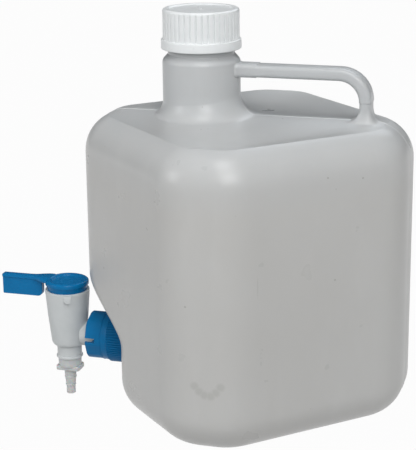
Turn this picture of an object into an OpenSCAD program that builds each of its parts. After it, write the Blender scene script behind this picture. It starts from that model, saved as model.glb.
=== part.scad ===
// Square blow-moulded carboy with an integral handle, a ribbed screw cap
// and a lever tap held in a corner recess by a union nut.
// Millimetres. The origin is the centre of the flat base and +Z is up.
// The tap points along -Y and the handle runs from the neck towards +Y.

/* [Body] */
// Distance across each pair of main faces
face_across = 225; // [205:1:250]
// How far the front and rear corners are cut back from a full square
front_cut = 27.5; // [23:0.5:38]
// How far the two side corners are cut back from a full square
side_cut = 25; // [23:0.5:36]
// Height of the ridge along the top
body_h = 237.5; // [200:0.5:300]
// Radius of the upright edges
edge_r = 45; // [25:1:50]
// Radius of the shoulder edge
shoulder_r = 31; // [20:0.5:36]
// Radius of the base edge
base_r = 30; // [15:0.5:36]
// Angle of the shoulder curve at which the crest of the top begins
crest_angle = 68; // [50:1:80]
// Depth of the dished panel on each side of the top ridge
dish_depth = 2.5; // [0:0.25:5]
// Thickness of the moulded wall
wall = 2.2; // [1.4:0.1:3.5]

/* [Tap recess] */
// How far the recessed wall stands back from the front corner flat
recess_depth = 40.8; // [25:0.2:50]
// Height at which the recessed wall starts to lean forward
recess_low = 57; // [45:0.5:70]
// Height at which it meets the front corner flat
recess_high = 103; // [90:0.5:130]

/* [Neck] */
// Distance of the neck axis in front of the centre
neck_offset = 37.5; // [20:0.5:50]
// Diameter of the neck
neck_d = 62; // [50:0.5:70]
// Height of the neck's cylinder above the top ridge
neck_h = 43; // [42:0.5:60]
// Radius of the flare where the neck meets the top
neck_flare_r = 16; // [6:0.5:18]
// Wall thickness of the neck
neck_wall = 2.6; // [1.8:0.1:4]
// Outer diameter of the neck finish under the cap
finish_d = 53; // [40:0.5:56]
// Height of the neck finish
finish_h = 31.6; // [28:0.2:40]
// Wall thickness of the neck finish
finish_wall = 3.5; // [2.5:0.1:6]
// How far the neck's flare runs in below the top ridge
flare_drop = 2.5; // [1:0.25:4]
// Radius of the neck's upper edge
neck_edge_r = 4; // [2:0.25:4.25]
// Height of the sloped shoulder between neck and finish
finish_shoulder_h = 5; // [3:0.5:8]

/* [Handle] */
// Width of the grip
grip_w = 18; // [14:0.5:24]
// Thickness of the grip
grip_t = 9.5; // [7:0.25:14]
// Corner radius of the grip's section
grip_r = 3; // [1.5:0.25:3.4]
// Wall thickness of the hollow grip
grip_wall = 2; // [1.2:0.1:2.4]
// Height of the grip's middle line above the top ridge
grip_rise = 36; // [28:0.5:42]
// Distance from the centre back to the middle line of the post
post_offset = 95.4; // [85:0.2:96]
// Radius of the elbow's middle line
elbow_r = 21; // [14:0.5:24]
// Length of the solid web between the neck and the hollow grip
web_l = 15.3; // [8:0.1:25]
// How much the web stands proud of the grip, above and below
web_proud = 0.5; // [0.2:0.1:1.5]
// Height of the flared foot of the post
foot_h = 9; // [5:0.5:14]
// How much the foot spreads on each side
foot_spread = 6; // [2:0.5:8]

/* [Cap] */
// Wall thickness of the cap at its ribs
cap_wall = 2.15; // [1.8:0.05:3]
// How far the plain ring at the cap's foot stands out from the ribs
ring_proud = 1.65; // [0.8:0.05:3]
// Height of the plain ring
ring_h = 7.5; // [4:0.5:12]
// Overall height of the cap
cap_h = 31.5; // [26:0.5:34]
// Number of ribs
rib_count = 40; // [20:1:48]
// Radius of a rib
rib_r = 0.7; // [0.4:0.05:1]
// Thickness of the cap's top
cap_top = 2.9; // [2.2:0.1:4]
// Depth of the sunken disc in the cap's top
cap_sink = 1; // [0.4:0.1:1.4]
// Width of the rim around the sunken disc
cap_rim_w = 5; // [3:0.5:8]
// Chamfer of the cap's top edge
cap_edge = 1.5; // [0.6:0.1:1.8]
// Radius of the moulding nub in the middle of the cap
nub_r = 1.2; // [0.6:0.1:2]
// Height of the moulding nub
nub_h = 0.5; // [0.2:0.1:0.9]
// Radial gap between the cap's bore and the neck finish
cap_gap = 1.7; // [1.2:0.1:2]
// Thickness of the sealing disc
liner_t = 1; // [0.6:0.1:2]
// Radial gap between the sealing disc and the cap
liner_gap = 0.3; // [0.1:0.05:0.6]

/* [Spout and union nut] */
// Height of the spout's axis above the base
spout_z = 39.5; // [32:0.5:44]
// Outer diameter of the spout
spout_d = 34; // [28:0.5:38]
// Bore diameter of the spout
spout_bore_d = 24; // [16:0.5:26]
// Length of the spout in front of the recessed wall
spout_l = 33.3; // [30:0.1:44]
// Thickness of the flat seal
seal_t = 2; // [1:0.1:3]
// Thickness of the tap's flange
flange_t = 3; // [2:0.1:4]
// Wall thickness of the nut's front collar
nut_wall = 3.1; // [2.4:0.1:4]
// How far the ribbed ring stands out from the collar
nut_ring_proud = 1.1; // [0.8:0.1:2.5]
// Depth of the eight flats on the collar
nut_flat_depth = 0.6; // [0.3:0.1:1]
// Length of the ribbed ring
nut_ring_l = 22; // [15:0.5:22]
// Length of the cone between ring and collar
nut_cone_l = 6; // [3:0.5:6]
// Length of the nut's front collar
nut_collar_l = 13.5; // [11:0.5:16]
// Length of the collar that lies in front of the tap's flange
nut_front_l = 8.5; // [6:0.5:10]
// Thickness of the nut's inward lip
nut_lip_t = 3.5; // [2:0.1:4.5]
// Number of fine ribs around the nut
nut_rib_count = 64; // [36:1:72]
// Depth of the fine ribs
nut_rib_h = 0.6; // [0.3:0.05:1]
// Width of the two slots in the collar
slot_w = 3.7; // [2:0.1:6]
// Length of the two slots
slot_l = 9; // [5:0.5:12]
// Turn of the slots about the spout's axis
slot_turn = 6; // [0:1:90]
// Radial gap between the nut's bore and the spout
nut_gap = 0.3; // [0.2:0.05:0.6]

/* [Tap body] */
// Distance from the flange's sealing face to the tap's upright axis
tap_reach = 33.1; // [30:0.1:45]
// Outer diameter of the inlet tube
inlet_d = 21; // [18:0.5:23]
// Wall thickness of the inlet tube
inlet_wall = 6; // [4:0.25:7]
// Radial gap between the inlet tube and the nut's lip
inlet_gap = 0.4; // [0.3:0.05:1]
// Outer diameter at the rim
rim_d = 37.8; // [36:0.2:42]
// Wall thickness at the rim
rim_wall = 2.1; // [1.6:0.1:3]
// Height of the upright band at the rim
rim_h = 2; // [1:0.25:4]
// How far the cup narrows below the rim
rim_lean = 1.6; // [0.4:0.1:1.8]
// Outer diameter at the foot of the cup
cup_foot_d = 28.6; // [28:0.2:32]
// Wall thickness at the foot of the cup
cup_wall = 2.3; // [1.8:0.1:4]
// Height of the rim above the spout's axis
rim_rise = 39; // [34:0.5:46]
// Height of the cup's widest bend above the spout's axis
cup_waist = 16.5; // [12:0.5:22]
// Depth of the seat's floor below the spout's axis
seat_drop = 6; // [5:0.25:7]
// Radius of the rounded foot of the cup
foot_r = 3.6; // [2:0.1:4.5]
// Thickness of the seat's floor
seat_floor_t = 5; // [3:0.25:6]
// Radius of the outlet under the seat
outlet_r = 5; // [3:0.25:5.5]
// Outer diameter of the lower collar
collar_d = 21; // [19:0.2:23]
// Length of the lower collar under the cup
collar_l = 11.7; // [8:0.1:14]
// Height of the bead at the collar's foot
bead_h = 1.8; // [1:0.1:3]
// How far the bead stands out
bead_proud = 0.8; // [0.4:0.1:1.5]
// Width of the stop lug
lug_w = 6.6; // [4:0.2:9]
// Height of the stop lug
lug_h = 7; // [4:0.2:9]
// Distance of the stop lug below the rim
lug_drop = 0.5; // [0.2:0.1:2]
// How far the stop lug stands out
lug_proud = 2; // [1:0.2:3]
// Turn of the stop lug from the +X direction
lug_turn = 21; // [0:1:45]

/* [Lever and plug] */
// Diameter of the hub disc
hub_d = 37; // [35:0.2:42]
// Thickness of the hub disc
hub_t = 6; // [5:0.25:9]
// Gap between the tap's rim and the hub disc
hub_gap = 2.5; // [1:0.1:4]
// Depth of the dish in the hub
hub_dish = 1.8; // [0.5:0.1:2.4]
// Width of the hub's rim around the dish
hub_rim_w = 4.5; // [3.5:0.25:7]
// Running gap between the plug and its seat
plug_gap = 0.08; // [0.03:0.01:0.1]
// Gap between the plug's foot and the seat's floor
plug_end_gap = 0.6; // [0.2:0.1:1.5]
// Wall thickness of the hollow plug
plug_wall = 2.4; // [1.6:0.1:3]
// Reach of the lever from the tap's axis
lever_reach = 58.5; // [50:0.5:70]
// Width of the lever's top plate at its tip
plate_w = 7; // [5:0.25:12]
// Width of the lever's top plate where it leaves the hub
plate_root_w = 15; // [12:0.5:20]
// Length over which the plate narrows outside the hub
plate_root_l = 5; // [2:0.5:9]
// How far the plate's root lies inside the hub's rim
plate_root_in = 0.5; // [0.2:0.1:1]
// Thickness of the lever's top plate
plate_t = 3; // [2:0.1:4]
// How far the plate's top stands above the hub
plate_rise = 1; // [0:0.1:2]
// Thickness of the blade under the plate
blade_t = 3; // [2:0.1:4.5]
// Depth of the blade from the plate's top
blade_h = 17.6; // [12:0.2:20]
// Gap between the blade and the tap's rim
blade_gap = 3.4; // [2:0.1:6]
// Radius of the blade's lower inner corner
blade_r = 4; // [2:0.5:6]

/* [Nozzle] */
// Wall thickness of the nozzle's top collar
nozzle_wall = 2.25; // [1.6:0.05:3]
// Height of the nozzle's top collar above its plate
nozzle_collar_h = 6.8; // [6.4:0.1:9]
// Length of the grip plate
nozzle_plate_l = 21; // [20:0.5:26]
// Width of the grip plate
nozzle_plate_w = 15.5; // [15:0.5:20]
// Thickness of the grip plate
nozzle_plate_t = 4; // [3:0.25:6]
// Diameter of the barbed tube at the plate
barb_root_d = 10.6; // [9:0.1:12]
// Diameter of the barbed tube at its tip
barb_tip_d = 7.8; // [7:0.1:9]
// Length of the tapered part of the barbed tube
barb_taper_l = 16.4; // [12:0.2:22]
// Length of the straight tip
barb_tip_l = 6; // [5:0.2:10]
// Height of the barb ridges
barb_ridge_h = 0.5; // [0.2:0.05:0.8]
// Distance of the upper barb ridge below the plate
ridge_high = 6.9; // [4:0.1:9]
// Distance between the two barb ridges
ridge_pitch = 7.7; // [5:0.1:7.9]
// Wall thickness of the barbed tube at its tip
barb_wall = 1.4; // [1:0.1:2]
// Width of the step between the tap's collar and its spigot
spigot_step = 2.8; // [2:0.1:3.5]
// Radial gap between the spigot and the nozzle's socket
spigot_gap = 0.05; // [0.02:0.01:0.1]
// Depth of the nozzle's socket
socket_h = 6; // [4:0.1:6.4]
// Gap between the spigot's end and the socket's floor
spigot_end_gap = 0.4; // [0.1:0.1:1]

/* [Hidden] */
$fn = 96;
eps = 0.01;

// Colours
natural = [0.80, 0.82, 0.82, 0.75];
white = [0.95, 0.95, 0.94];
blue = [0.05, 0.38, 0.66];
seal_grey = [0.25, 0.26, 0.27];
clear_grey = [0.72, 0.73, 0.72, 0.8];

// Plan of the body: an octagon whose faces lie at these distances
face_d = face_across / 2;
corner_reach = face_d * sqrt(2);
front_d = corner_reach - front_cut;
side_d = corner_reach - side_cut;
arc_steps = 6;
min_edge_r = 5;

// Steps of the lofted walls
round_steps = 7;
recess_steps = 10;
dish_steps = 4;

// Heights
ridge_z = body_h;
neck_top_z = ridge_z + neck_h;
finish_base_z = neck_top_z + finish_shoulder_h;
mouth_z = finish_base_z + finish_h;
liner_top_z = mouth_z + liner_t;
cap_top_z = liner_top_z + cap_top;
cap_foot_z = cap_top_z - cap_h;
grip_z = ridge_z + grip_rise;
neck_y = -neck_offset;
neck_r = neck_d / 2;

// Distances along the spout, measured from the centre of the base
recess_u = front_d - recess_depth;
spout_u = recess_u + spout_l;
flange_u = spout_u + seal_t;
flange_front_u = flange_u + flange_t;
nut_front_u = flange_front_u + nut_front_l;
nut_cone_u = nut_front_u - nut_collar_l;
nut_back_u = nut_cone_u - nut_cone_l - nut_ring_l;
tap_u = flange_u + tap_reach;
nut_bore_r = spout_d / 2 + nut_gap;
lip_bore_r = inlet_d / 2 + inlet_gap;

// Heights of the tap
rim_z = spout_z + rim_rise;
seat_floor_z = spout_z - seat_drop;
cup_foot_z = seat_floor_z - seat_floor_t;
collar_foot_z = cup_foot_z - collar_l;
hub_z = rim_z + hub_gap;
hub_top_z = hub_z + hub_t;
nozzle_plate_z = collar_foot_z - nozzle_collar_h;

// Sizes that follow from a neighbour's size and a wall or a gap
flare_z = ridge_z - flare_drop;
mouth_d = finish_d - 2 * finish_wall;
cap_bore_r = finish_d / 2 + cap_gap;
rib_tip_r = cap_bore_r + cap_wall;
cap_ring_r = rib_tip_r + ring_proud;
nut_collar_r = nut_bore_r + nut_wall;
nut_ring_r = nut_collar_r + nut_ring_proud;
inlet_bore_d = inlet_d - 2 * inlet_wall;
seat_d = rim_d - 2 * rim_wall;
seat_foot_d = cup_foot_d - 2 * cup_wall;
hub_dish_d = hub_d - 2 * hub_rim_w;
spigot_r = collar_d / 2 - spigot_step;
socket_r = spigot_r + spigot_gap;
nozzle_collar_r = socket_r + nozzle_wall;
nozzle_bore_d = barb_tip_d - 2 * barb_wall;

// ---- Bottle ----

function smooth(u) = let(v = min(max(u, 0), 1)) v * v * (3 - 2 * v);

// Distance of the front wall from the centre at height z
function front_at(z) =
    front_d - recess_depth * (1 - smooth((z - recess_low) / (recess_high - recess_low)));

// Outward direction and distance of plan face i, counted from the front
function face_dir(i) = [cos(45 * i - 90), sin(45 * i - 90)];
function plan_d(i, front) = [front, face_d, side_d, face_d, front_d, face_d, side_d, face_d][i % 8];

// Meeting point of plan faces i and i + 1, both moved in by inset
function plan_corner(i, front, inset) =
    let(a = plan_d(i, front) - inset, b = plan_d(i + 1, front) - inset, c = cos(45))
    (face_dir(i) * (a - b * c) + face_dir(i + 1) * (b - a * c)) / (1 - c * c);

// One closed ring of the skin: the plan moved in by inset, with round corners
function ring(z, front, inset) =
    let(r = max(edge_r - inset, min_edge_r))
    [for (i = [0:7]) let(c = plan_corner(i, front, inset + r)) for (j = [0:arc_steps])
        let(a = 45 * (i - 2 + j / arc_steps)) [c.x + r * cos(a), c.y + r * sin(a), z]];

// Rings of the skin moved in by t, from the flat base to the crest of the top
function base_rings(t) =
    [for (j = [0:round_steps]) let(a = 90 * j / round_steps, r = base_r - t)
        ring(base_r - r * cos(a), front_at(0), base_r - r * sin(a))];
function wall_rings(t) =
    [for (j = [0:recess_steps]) let(z = recess_low + (recess_high - recess_low) * j / recess_steps)
        ring(z, front_at(z - t / 2), t)];
function shoulder_rings(t) =
    [for (j = [0:round_steps]) let(a = crest_angle * j / round_steps, r = shoulder_r - t)
        ring(ridge_z - shoulder_r + r * sin(a), front_d, shoulder_r - r * cos(a))];

// Height of the ridge at distance y from the centre, for the skin moved in by t
function ridge_at(y, t) =
    let(past = max(abs(y) - front_d + shoulder_r, 0))
    ridge_z - shoulder_r + sqrt(pow(shoulder_r - t, 2) - pow(past, 2));

// Cross rows of the dished top between the two halves of the crest ring
function top_rows(crest, t) =
    let(half = len(crest) / 2, least = crest[0].x, most = max([for (p = crest) p.x]))
    [for (i = [0:half - 1]) let(p = crest[i], share = (p.x - least) / (most - least))
        [for (j = [1:2 * dish_steps - 1]) let(s = j / dish_steps, up = 1 - abs(1 - s))
            [p.x * (1 - s), p.y,
             p.z + (ridge_at(p.y, t) - p.z) * up - dish_depth * share * 4 * up * (1 - up)]]];

function flat(lists) = [for (l = lists) for (p = l) p];

// Closed skin of the body, moved in by t
module skin(t) {
    rings = concat(base_rings(t), wall_rings(t), shoulder_rings(t));
    n = len(rings[0]);
    last = len(rings) - 1;
    rows = top_rows(rings[last], t);
    row_l = len(rows[0]);
    function at(k, i) = k * n + i % n;
    function top(i, j) =
        j == 0 ? at(last, i) : j == row_l + 1 ? at(last, n - 1 - i) : (last + 1) * n + i * row_l + j - 1;
    base = [for (i = [n - 1:-1:0]) i];
    sides = [for (k = [0:last - 1]) for (i = [0:n - 1]) if (k < last - 1 || (i != n - 1 && i != n / 2 - 1))
        each [[at(k, i), at(k, i + 1), at(k + 1, i + 1)], [at(k, i), at(k + 1, i + 1), at(k + 1, i)]]];
    // The two short corner strips under the crest fan out to the ends of the top rows
    front = [for (j = [-1:row_l]) [at(last - 1, n - 1), j < 0 ? at(last - 1, 0) : top(0, j), top(0, j + 1)]];
    rear = [for (j = [-1:row_l]) [at(last - 1, n / 2), top(n / 2 - 1, j + 1), j < 0 ? at(last - 1, n / 2 - 1) : top(n / 2 - 1, j)]];
    cover = [for (i = [0:n / 2 - 2]) for (j = [0:row_l])
        each [[top(i, j), top(i + 1, j), top(i + 1, j + 1)], [top(i, j), top(i + 1, j + 1), top(i, j + 1)]]];
    // Faces are listed anticlockwise from outside, and polyhedron() wants them clockwise
    faces = [for (f = concat([base], sides, front, rear, cover)) [for (k = [len(f) - 1:-1:0]) f[k]]];
    polyhedron(points = concat(flat(rings), flat(rows)), faces = faces, convexity = 6);
}

// Solid of revolution about the neck's axis
module neck_turned() { translate([0, neck_y, 0]) rotate_extrude() children(); }

module neck_outside() {
    neck_turned() {
        polygon([[0, flare_z - wall], [neck_r, flare_z - wall], [neck_r, neck_top_z - neck_edge_r],
            [neck_r - neck_edge_r, neck_top_z], [finish_d / 2, finish_base_z],
            [finish_d / 2, mouth_z], [0, mouth_z]]);
        difference() {
            translate([neck_r - eps, flare_z - wall]) square([neck_flare_r + eps, neck_flare_r + wall]);
            translate([neck_r + neck_flare_r, flare_z + neck_flare_r]) circle(neck_flare_r);
        }
        translate([neck_r - neck_edge_r, neck_top_z - neck_edge_r]) circle(neck_edge_r);
    }
}

module neck_bore() {
    neck_turned() polygon([[0, ridge_z - shoulder_r], [neck_r - neck_wall, ridge_z - shoulder_r],
        [neck_r - neck_wall, neck_top_z - neck_wall], [mouth_d / 2, finish_base_z],
        [mouth_d / 2, mouth_z + 1], [0, mouth_z + 1]]);
}

// Rounded rectangle, w along X and h along Y
module rounded(w, h, r) {
    square([w - 2 * r, h], center = true);
    square([w, h - 2 * r], center = true);
    for (sx = [-1, 1], sy = [-1, 1]) translate([sx * (w / 2 - r), sy * (h / 2 - r)]) circle(r, $fn = 32);
}

// Straight run along Y from y0 to y1 at height z
module run_y(y0, y1, z) { translate([0, y1, z]) rotate([90, 0, 0]) linear_extrude(y1 - y0) children(); }

// Grip, elbow and post with a section of width w and thickness t, from y_from to z_to
module grip_path(w, t, r, y_from, z_to) {
    elbow_y = post_offset - elbow_r;
    elbow_z = grip_z - elbow_r;
    run_y(y_from, elbow_y, grip_z) rounded(w, t, r);
    translate([0, elbow_y, elbow_z]) rotate([90, 0, 90]) rotate_extrude(angle = 90)
        translate([elbow_r, 0]) rounded(t, w, r);
    translate([0, post_offset, z_to]) linear_extrude(elbow_z - z_to) rounded(w, t, r);
}

// One slice of the post's flared foot
module foot_slice(rise, spread) {
    translate([0, post_offset, ridge_z + rise]) linear_extrude(eps)
        rounded(grip_w + 2 * spread, grip_t + 2 * spread, grip_r + spread);
}

module handle_outside() {
    neck_back = neck_y + neck_r;
    grip_path(grip_w, grip_t, grip_r, neck_back - neck_wall, ridge_z - wall);
    run_y(neck_back - neck_wall, neck_back + web_l, grip_z) rounded(grip_w, grip_t + 2 * web_proud, grip_r);
    hull() {
        foot_slice(foot_h, 0);
        foot_slice(foot_h / 3, foot_spread / 4);
    }
    hull() {
        foot_slice(foot_h / 3, foot_spread / 4);
        foot_slice(-wall, foot_spread);
    }
}

module handle_hollow() {
    inner_r = grip_r - grip_wall / 2;
    grip_path(grip_w - 2 * grip_wall, grip_t - 2 * grip_wall, inner_r, neck_y + neck_r + web_l, ridge_z - 3 * wall);
}

// Solid of revolution about the spout's axis, given as radius and distance from the centre
module spout_turned() { translate([0, 0, spout_z]) rotate([90, 0, 0]) rotate_extrude() children(); }

// Square profile from radius r0 to r1 and from distance u0 to u1
module band(r0, r1, u0, u1) { translate([r0, u0]) square([r1 - r0, u1 - u0]); }

module bottle() {
    color(natural) difference() {
        union() {
            skin(0);
            neck_outside();
            handle_outside();
            spout_turned() band(0, spout_d / 2, recess_u - 2 * wall, spout_u);
        }
        skin(wall);
        neck_bore();
        handle_hollow();
        spout_turned() band(0, spout_bore_d / 2, recess_u - 4 * wall, spout_u + 1);
    }
}

// ---- Closure ----

module cap() {
    core_r = rib_tip_r - rib_r;
    sink_r = core_r - cap_rim_w;
    ribs_z = cap_foot_z + ring_h;
    ribs_h = cap_top_z - cap_edge - ribs_z;
    color(white) {
        difference() {
            union() {
                neck_turned() polygon([[cap_bore_r, cap_foot_z], [cap_ring_r, cap_foot_z], [cap_ring_r, ribs_z],
                    [core_r, ribs_z], [core_r, cap_top_z - cap_edge], [core_r - cap_edge, cap_top_z],
                    [sink_r, cap_top_z], [sink_r - cap_sink, cap_top_z - cap_sink], [0, cap_top_z - cap_sink],
                    [0, liner_top_z], [cap_bore_r, liner_top_z]]);
                translate([0, neck_y, ribs_z]) linear_extrude(ribs_h)
                    for (i = [0:rib_count - 1]) rotate(360 * i / rib_count) translate([core_r, 0]) circle(rib_r, $fn = 16);
                neck_turned() band(0, nub_r, cap_top_z - cap_sink - eps, cap_top_z - cap_sink + nub_h);
            }
            neck_turned() band(0, cap_bore_r - eps, cap_foot_z - 1, liner_top_z);
        }
    }
}

module cap_liner() {
    color(seal_grey) neck_turned() band(0, cap_bore_r - liner_gap, mouth_z, liner_top_z);
}

// ---- Spigot ----

module inlet_gasket() {
    color(seal_grey) spout_turned() band(inlet_bore_d / 2 + seal_t, spout_d / 2 - nut_gap, spout_u, flange_u);
}

module union_nut() {
    ring_u = nut_back_u + nut_ring_l;
    color(blue) difference() {
        union() {
            translate([0, -nut_back_u, spout_z]) rotate([90, 0, 0]) linear_extrude(nut_ring_l) ribbed_outline(nut_ring_r);
            spout_turned() polygon([[0, ring_u], [nut_ring_r - nut_rib_h, ring_u], [nut_collar_r, nut_cone_u], [0, nut_cone_u]]);
            intersection() {
                spout_turned() band(0, nut_collar_r, nut_cone_u, nut_front_u);
                translate([0, -nut_cone_u, spout_z]) rotate([90, 0, 0]) linear_extrude(nut_front_u - nut_cone_u)
                    rotate(22.5) circle((nut_collar_r - nut_flat_depth) / cos(22.5), $fn = 8);
            }
        }
        spout_turned() {
            band(0, nut_bore_r, nut_back_u - 1, flange_front_u);
            band(0, lip_bore_r, flange_front_u - 1, nut_front_u + 1);
            band(0, nut_bore_r, flange_front_u + nut_lip_t, nut_front_u + 1);
        }
        for (side = [0, 180]) translate([0, -nut_front_u, spout_z]) rotate([90, 0, 0]) rotate(side - slot_turn)
            translate([lip_bore_r, -slot_w / 2, -slot_l]) cube([nut_collar_r, slot_w, slot_l + 1]);
    }
}

// Toothed outline whose tips reach radius r
module ribbed_outline(r) {
    step = 360 / nut_rib_count;
    polygon([for (i = [0:nut_rib_count - 1]) each [
        for (p = [[-0.25, 1], [0.25, 1], [0.4, 0], [0.6, 0]])
            let(a = step * (i + p[0]), q = r - nut_rib_h * (1 - p[1])) [q * cos(a), q * sin(a)]]]);
}

// Solid of revolution about the tap's upright axis
module tap_turned() { translate([0, -tap_u, 0]) rotate_extrude() children(); }

module tap_body() {
    collar_r = collar_d / 2;
    cup_r = cup_foot_d / 2;
    color(white) difference() {
        union() {
            tap_turned() {
                polygon([[0, cup_foot_z], [cup_r - foot_r, cup_foot_z], [cup_r, cup_foot_z + foot_r],
                    [rim_d / 2 - rim_lean, spout_z + cup_waist], [rim_d / 2, rim_z - rim_h], [rim_d / 2, rim_z],
                    [0, rim_z]]);
                translate([cup_r - foot_r, cup_foot_z + foot_r]) circle(foot_r);
                band(0, collar_r, collar_foot_z, cup_foot_z + eps);
                band(0, collar_r + bead_proud, collar_foot_z + bead_h / 3, collar_foot_z + bead_h * 4 / 3);
                band(0, spigot_r, collar_foot_z - socket_h + spigot_end_gap, collar_foot_z + eps);
            }
            spout_turned() {
                band(0, inlet_d / 2, flange_u, tap_u - seat_foot_d / 2);
                band(0, nut_bore_r - nut_gap, flange_u, flange_front_u);
            }
            stop_lug();
        }
        tap_turned() {
            polygon([[0, seat_floor_z], [seat_foot_d / 2, seat_floor_z], [seat_d / 2, rim_z], [seat_d / 2, rim_z + 1],
                [0, rim_z + 1]]);
            band(0, outlet_r, collar_foot_z - socket_h - 1, seat_floor_z + eps);
        }
        spout_turned() band(0, inlet_bore_d / 2, flange_u - 1, tap_u);
    }
}

// Small block with a round foot on the outside of the cup
module stop_lug() {
    lug_r = rim_d / 2 + lug_proud;
    lug_z = rim_z - lug_drop;
    translate([0, -tap_u, 0]) rotate(lug_turn) rotate([90, 0, 90]) linear_extrude(lug_r - rim_lean) {
        translate([-lug_w / 2, lug_z - lug_h + lug_w / 2]) square([lug_w, lug_h - lug_w / 2]);
        translate([0, lug_z - lug_h + lug_w / 2]) circle(lug_w / 2, $fn = 32);
    }
}

module lever_plug() {
    plug_top_r = seat_d / 2 - plug_gap;
    plug_foot_r = seat_foot_d / 2 - plug_gap;
    plug_foot_z = seat_floor_z + plug_end_gap;
    core_top_z = hub_z - plug_wall;
    color(blue) difference() {
        union() {
            tap_turned() {
                polygon([[0, plug_foot_z], [seat_r_at(plug_foot_z) - plug_gap, plug_foot_z],
                    [plug_top_r, rim_z], [plug_top_r, hub_z], [0, hub_z]]);
                hub_outline();
            }
            lever_arm();
        }
        tap_turned() {
            polygon([[0, plug_foot_z - 1], [plug_foot_r - plug_wall, plug_foot_z - 1],
                [plug_top_r - plug_wall, core_top_z - plug_wall], [0, core_top_z]]);
            translate([0, hub_top_z - hub_dish]) polygon([[0, 0], [hub_dish_d / 2 - hub_dish, 0],
                [hub_dish_d / 2, hub_dish + eps], [0, hub_dish + eps]]);
        }
        // Side port, turned away from the inlet while the tap is shut
        translate([0, -tap_u, spout_z]) rotate([0, 90, 0]) cylinder(r = inlet_bore_d / 2, h = seat_d);
    }
}

// Radius of the tapered seat at height z
function seat_r_at(z) =
    (seat_foot_d + (seat_d - seat_foot_d) * (z - seat_floor_z) / (rim_z - seat_floor_z)) / 2;

// Half section of the hub disc, with round edges
module hub_outline() {
    edge = hub_t / 2;
    band(0, hub_d / 2 - edge, hub_z, hub_top_z);
    translate([hub_d / 2 - edge, hub_z + edge]) circle(edge);
}

module lever_arm() {
    plate_top_z = hub_top_z + plate_rise;
    blade_in = rim_d / 2 + blade_gap;
    translate([0, -tap_u, 0]) {
        difference() {
            translate([0, 0, plate_top_z - plate_t]) linear_extrude(plate_t)
                polygon([[-plate_root_w / 2, -hub_dish_d / 2 - plate_root_in], [-plate_w / 2, -hub_d / 2 - plate_root_l],
                    [-plate_w / 2, -lever_reach], [plate_w / 2, -lever_reach],
                    [plate_w / 2, -hub_d / 2 - plate_root_l], [plate_root_w / 2, -hub_dish_d / 2 - plate_root_in]]);
            cylinder(d = hub_dish_d, h = plate_top_z + 1);
        }
        translate([blade_t / 2, 0, plate_top_z]) rotate([0, -90, 0]) linear_extrude(blade_t) {
            translate([-blade_h + blade_r, -lever_reach]) square([blade_h - blade_r - plate_t / 2, lever_reach - blade_in]);
            translate([-blade_h, -lever_reach]) square([blade_h - plate_t / 2, lever_reach - blade_in - blade_r]);
            translate([-blade_h + blade_r, -blade_in - blade_r]) circle(blade_r, $fn = 32);
        }
    }
}

module nozzle() {
    plate_top_z = nozzle_plate_z;
    plate_z = plate_top_z - nozzle_plate_t;
    tip_z = plate_z - barb_taper_l - barb_tip_l;
    color(clear_grey) difference() {
        union() {
            tap_turned() {
                band(0, nozzle_collar_r, plate_top_z, collar_foot_z);
                polygon([[0, plate_z], [barb_root_d / 2, plate_z], [barb_tip_d / 2, plate_z - barb_taper_l],
                    [barb_tip_d / 2, tip_z], [0, tip_z]]);
                for (drop = [ridge_high, ridge_high + ridge_pitch]) barb_ridge(plate_z - drop, barb_r_at(drop));
            }
            translate([0, -tap_u, plate_z]) linear_extrude(nozzle_plate_t) intersection() {
                square([nozzle_plate_w, nozzle_plate_l], center = true);
                circle(d = nozzle_plate_l + 2 * barb_ridge_h);
            }
        }
        tap_turned() {
            band(0, socket_r, collar_foot_z - socket_h, collar_foot_z + 1);
            band(0, nozzle_bore_d / 2, tip_z - 1, collar_foot_z);
        }
    }
}

// Radius of the barbed tube at a distance below the plate
function barb_r_at(drop) = (barb_root_d + (barb_tip_d - barb_root_d) * drop / barb_taper_l) / 2;

// Sharp ridge around the barbed tube, facing up
module barb_ridge(z, r) {
    polygon([[0, z], [r + barb_ridge_h, z], [r, z - 4 * barb_ridge_h], [0, z - 4 * barb_ridge_h]]);
}

bottle();
cap();
cap_liner();
union_nut();
inlet_gasket();
tap_body();
lever_plug();
nozzle();
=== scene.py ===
"""Carboy with spigot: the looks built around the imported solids. Metres; +Z up; the tap points along -Y."""

import math

import bmesh
import bpy
from mathutils import Matrix, Vector


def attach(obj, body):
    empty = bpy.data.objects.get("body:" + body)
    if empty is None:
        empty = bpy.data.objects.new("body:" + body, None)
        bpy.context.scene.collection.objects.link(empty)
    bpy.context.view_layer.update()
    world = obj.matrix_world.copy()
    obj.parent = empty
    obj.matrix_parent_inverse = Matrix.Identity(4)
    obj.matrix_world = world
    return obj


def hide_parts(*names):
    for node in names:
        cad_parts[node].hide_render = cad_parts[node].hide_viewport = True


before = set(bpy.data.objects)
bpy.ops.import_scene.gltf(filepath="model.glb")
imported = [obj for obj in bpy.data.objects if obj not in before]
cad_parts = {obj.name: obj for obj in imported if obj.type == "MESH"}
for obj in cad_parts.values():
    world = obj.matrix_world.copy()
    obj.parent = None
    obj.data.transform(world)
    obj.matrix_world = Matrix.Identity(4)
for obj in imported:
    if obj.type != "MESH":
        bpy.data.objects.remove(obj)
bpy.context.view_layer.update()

MM = 0.001
TAU = 2 * math.pi

# ---- Sizes in millimetres, the same as in the part's source ----

FACE = 112.5
CORNER = FACE * math.sqrt(2)
FRONT = CORNER - 27.5
REAR = FRONT - 0.3
SIDE = CORNER - 25
RIDGE_Z = 237.5
EDGE_R = 45
SHOULDER_R = 31
BASE_R = 30
CREST_ANGLE = math.radians(68)
DISH = 3.2
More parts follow.
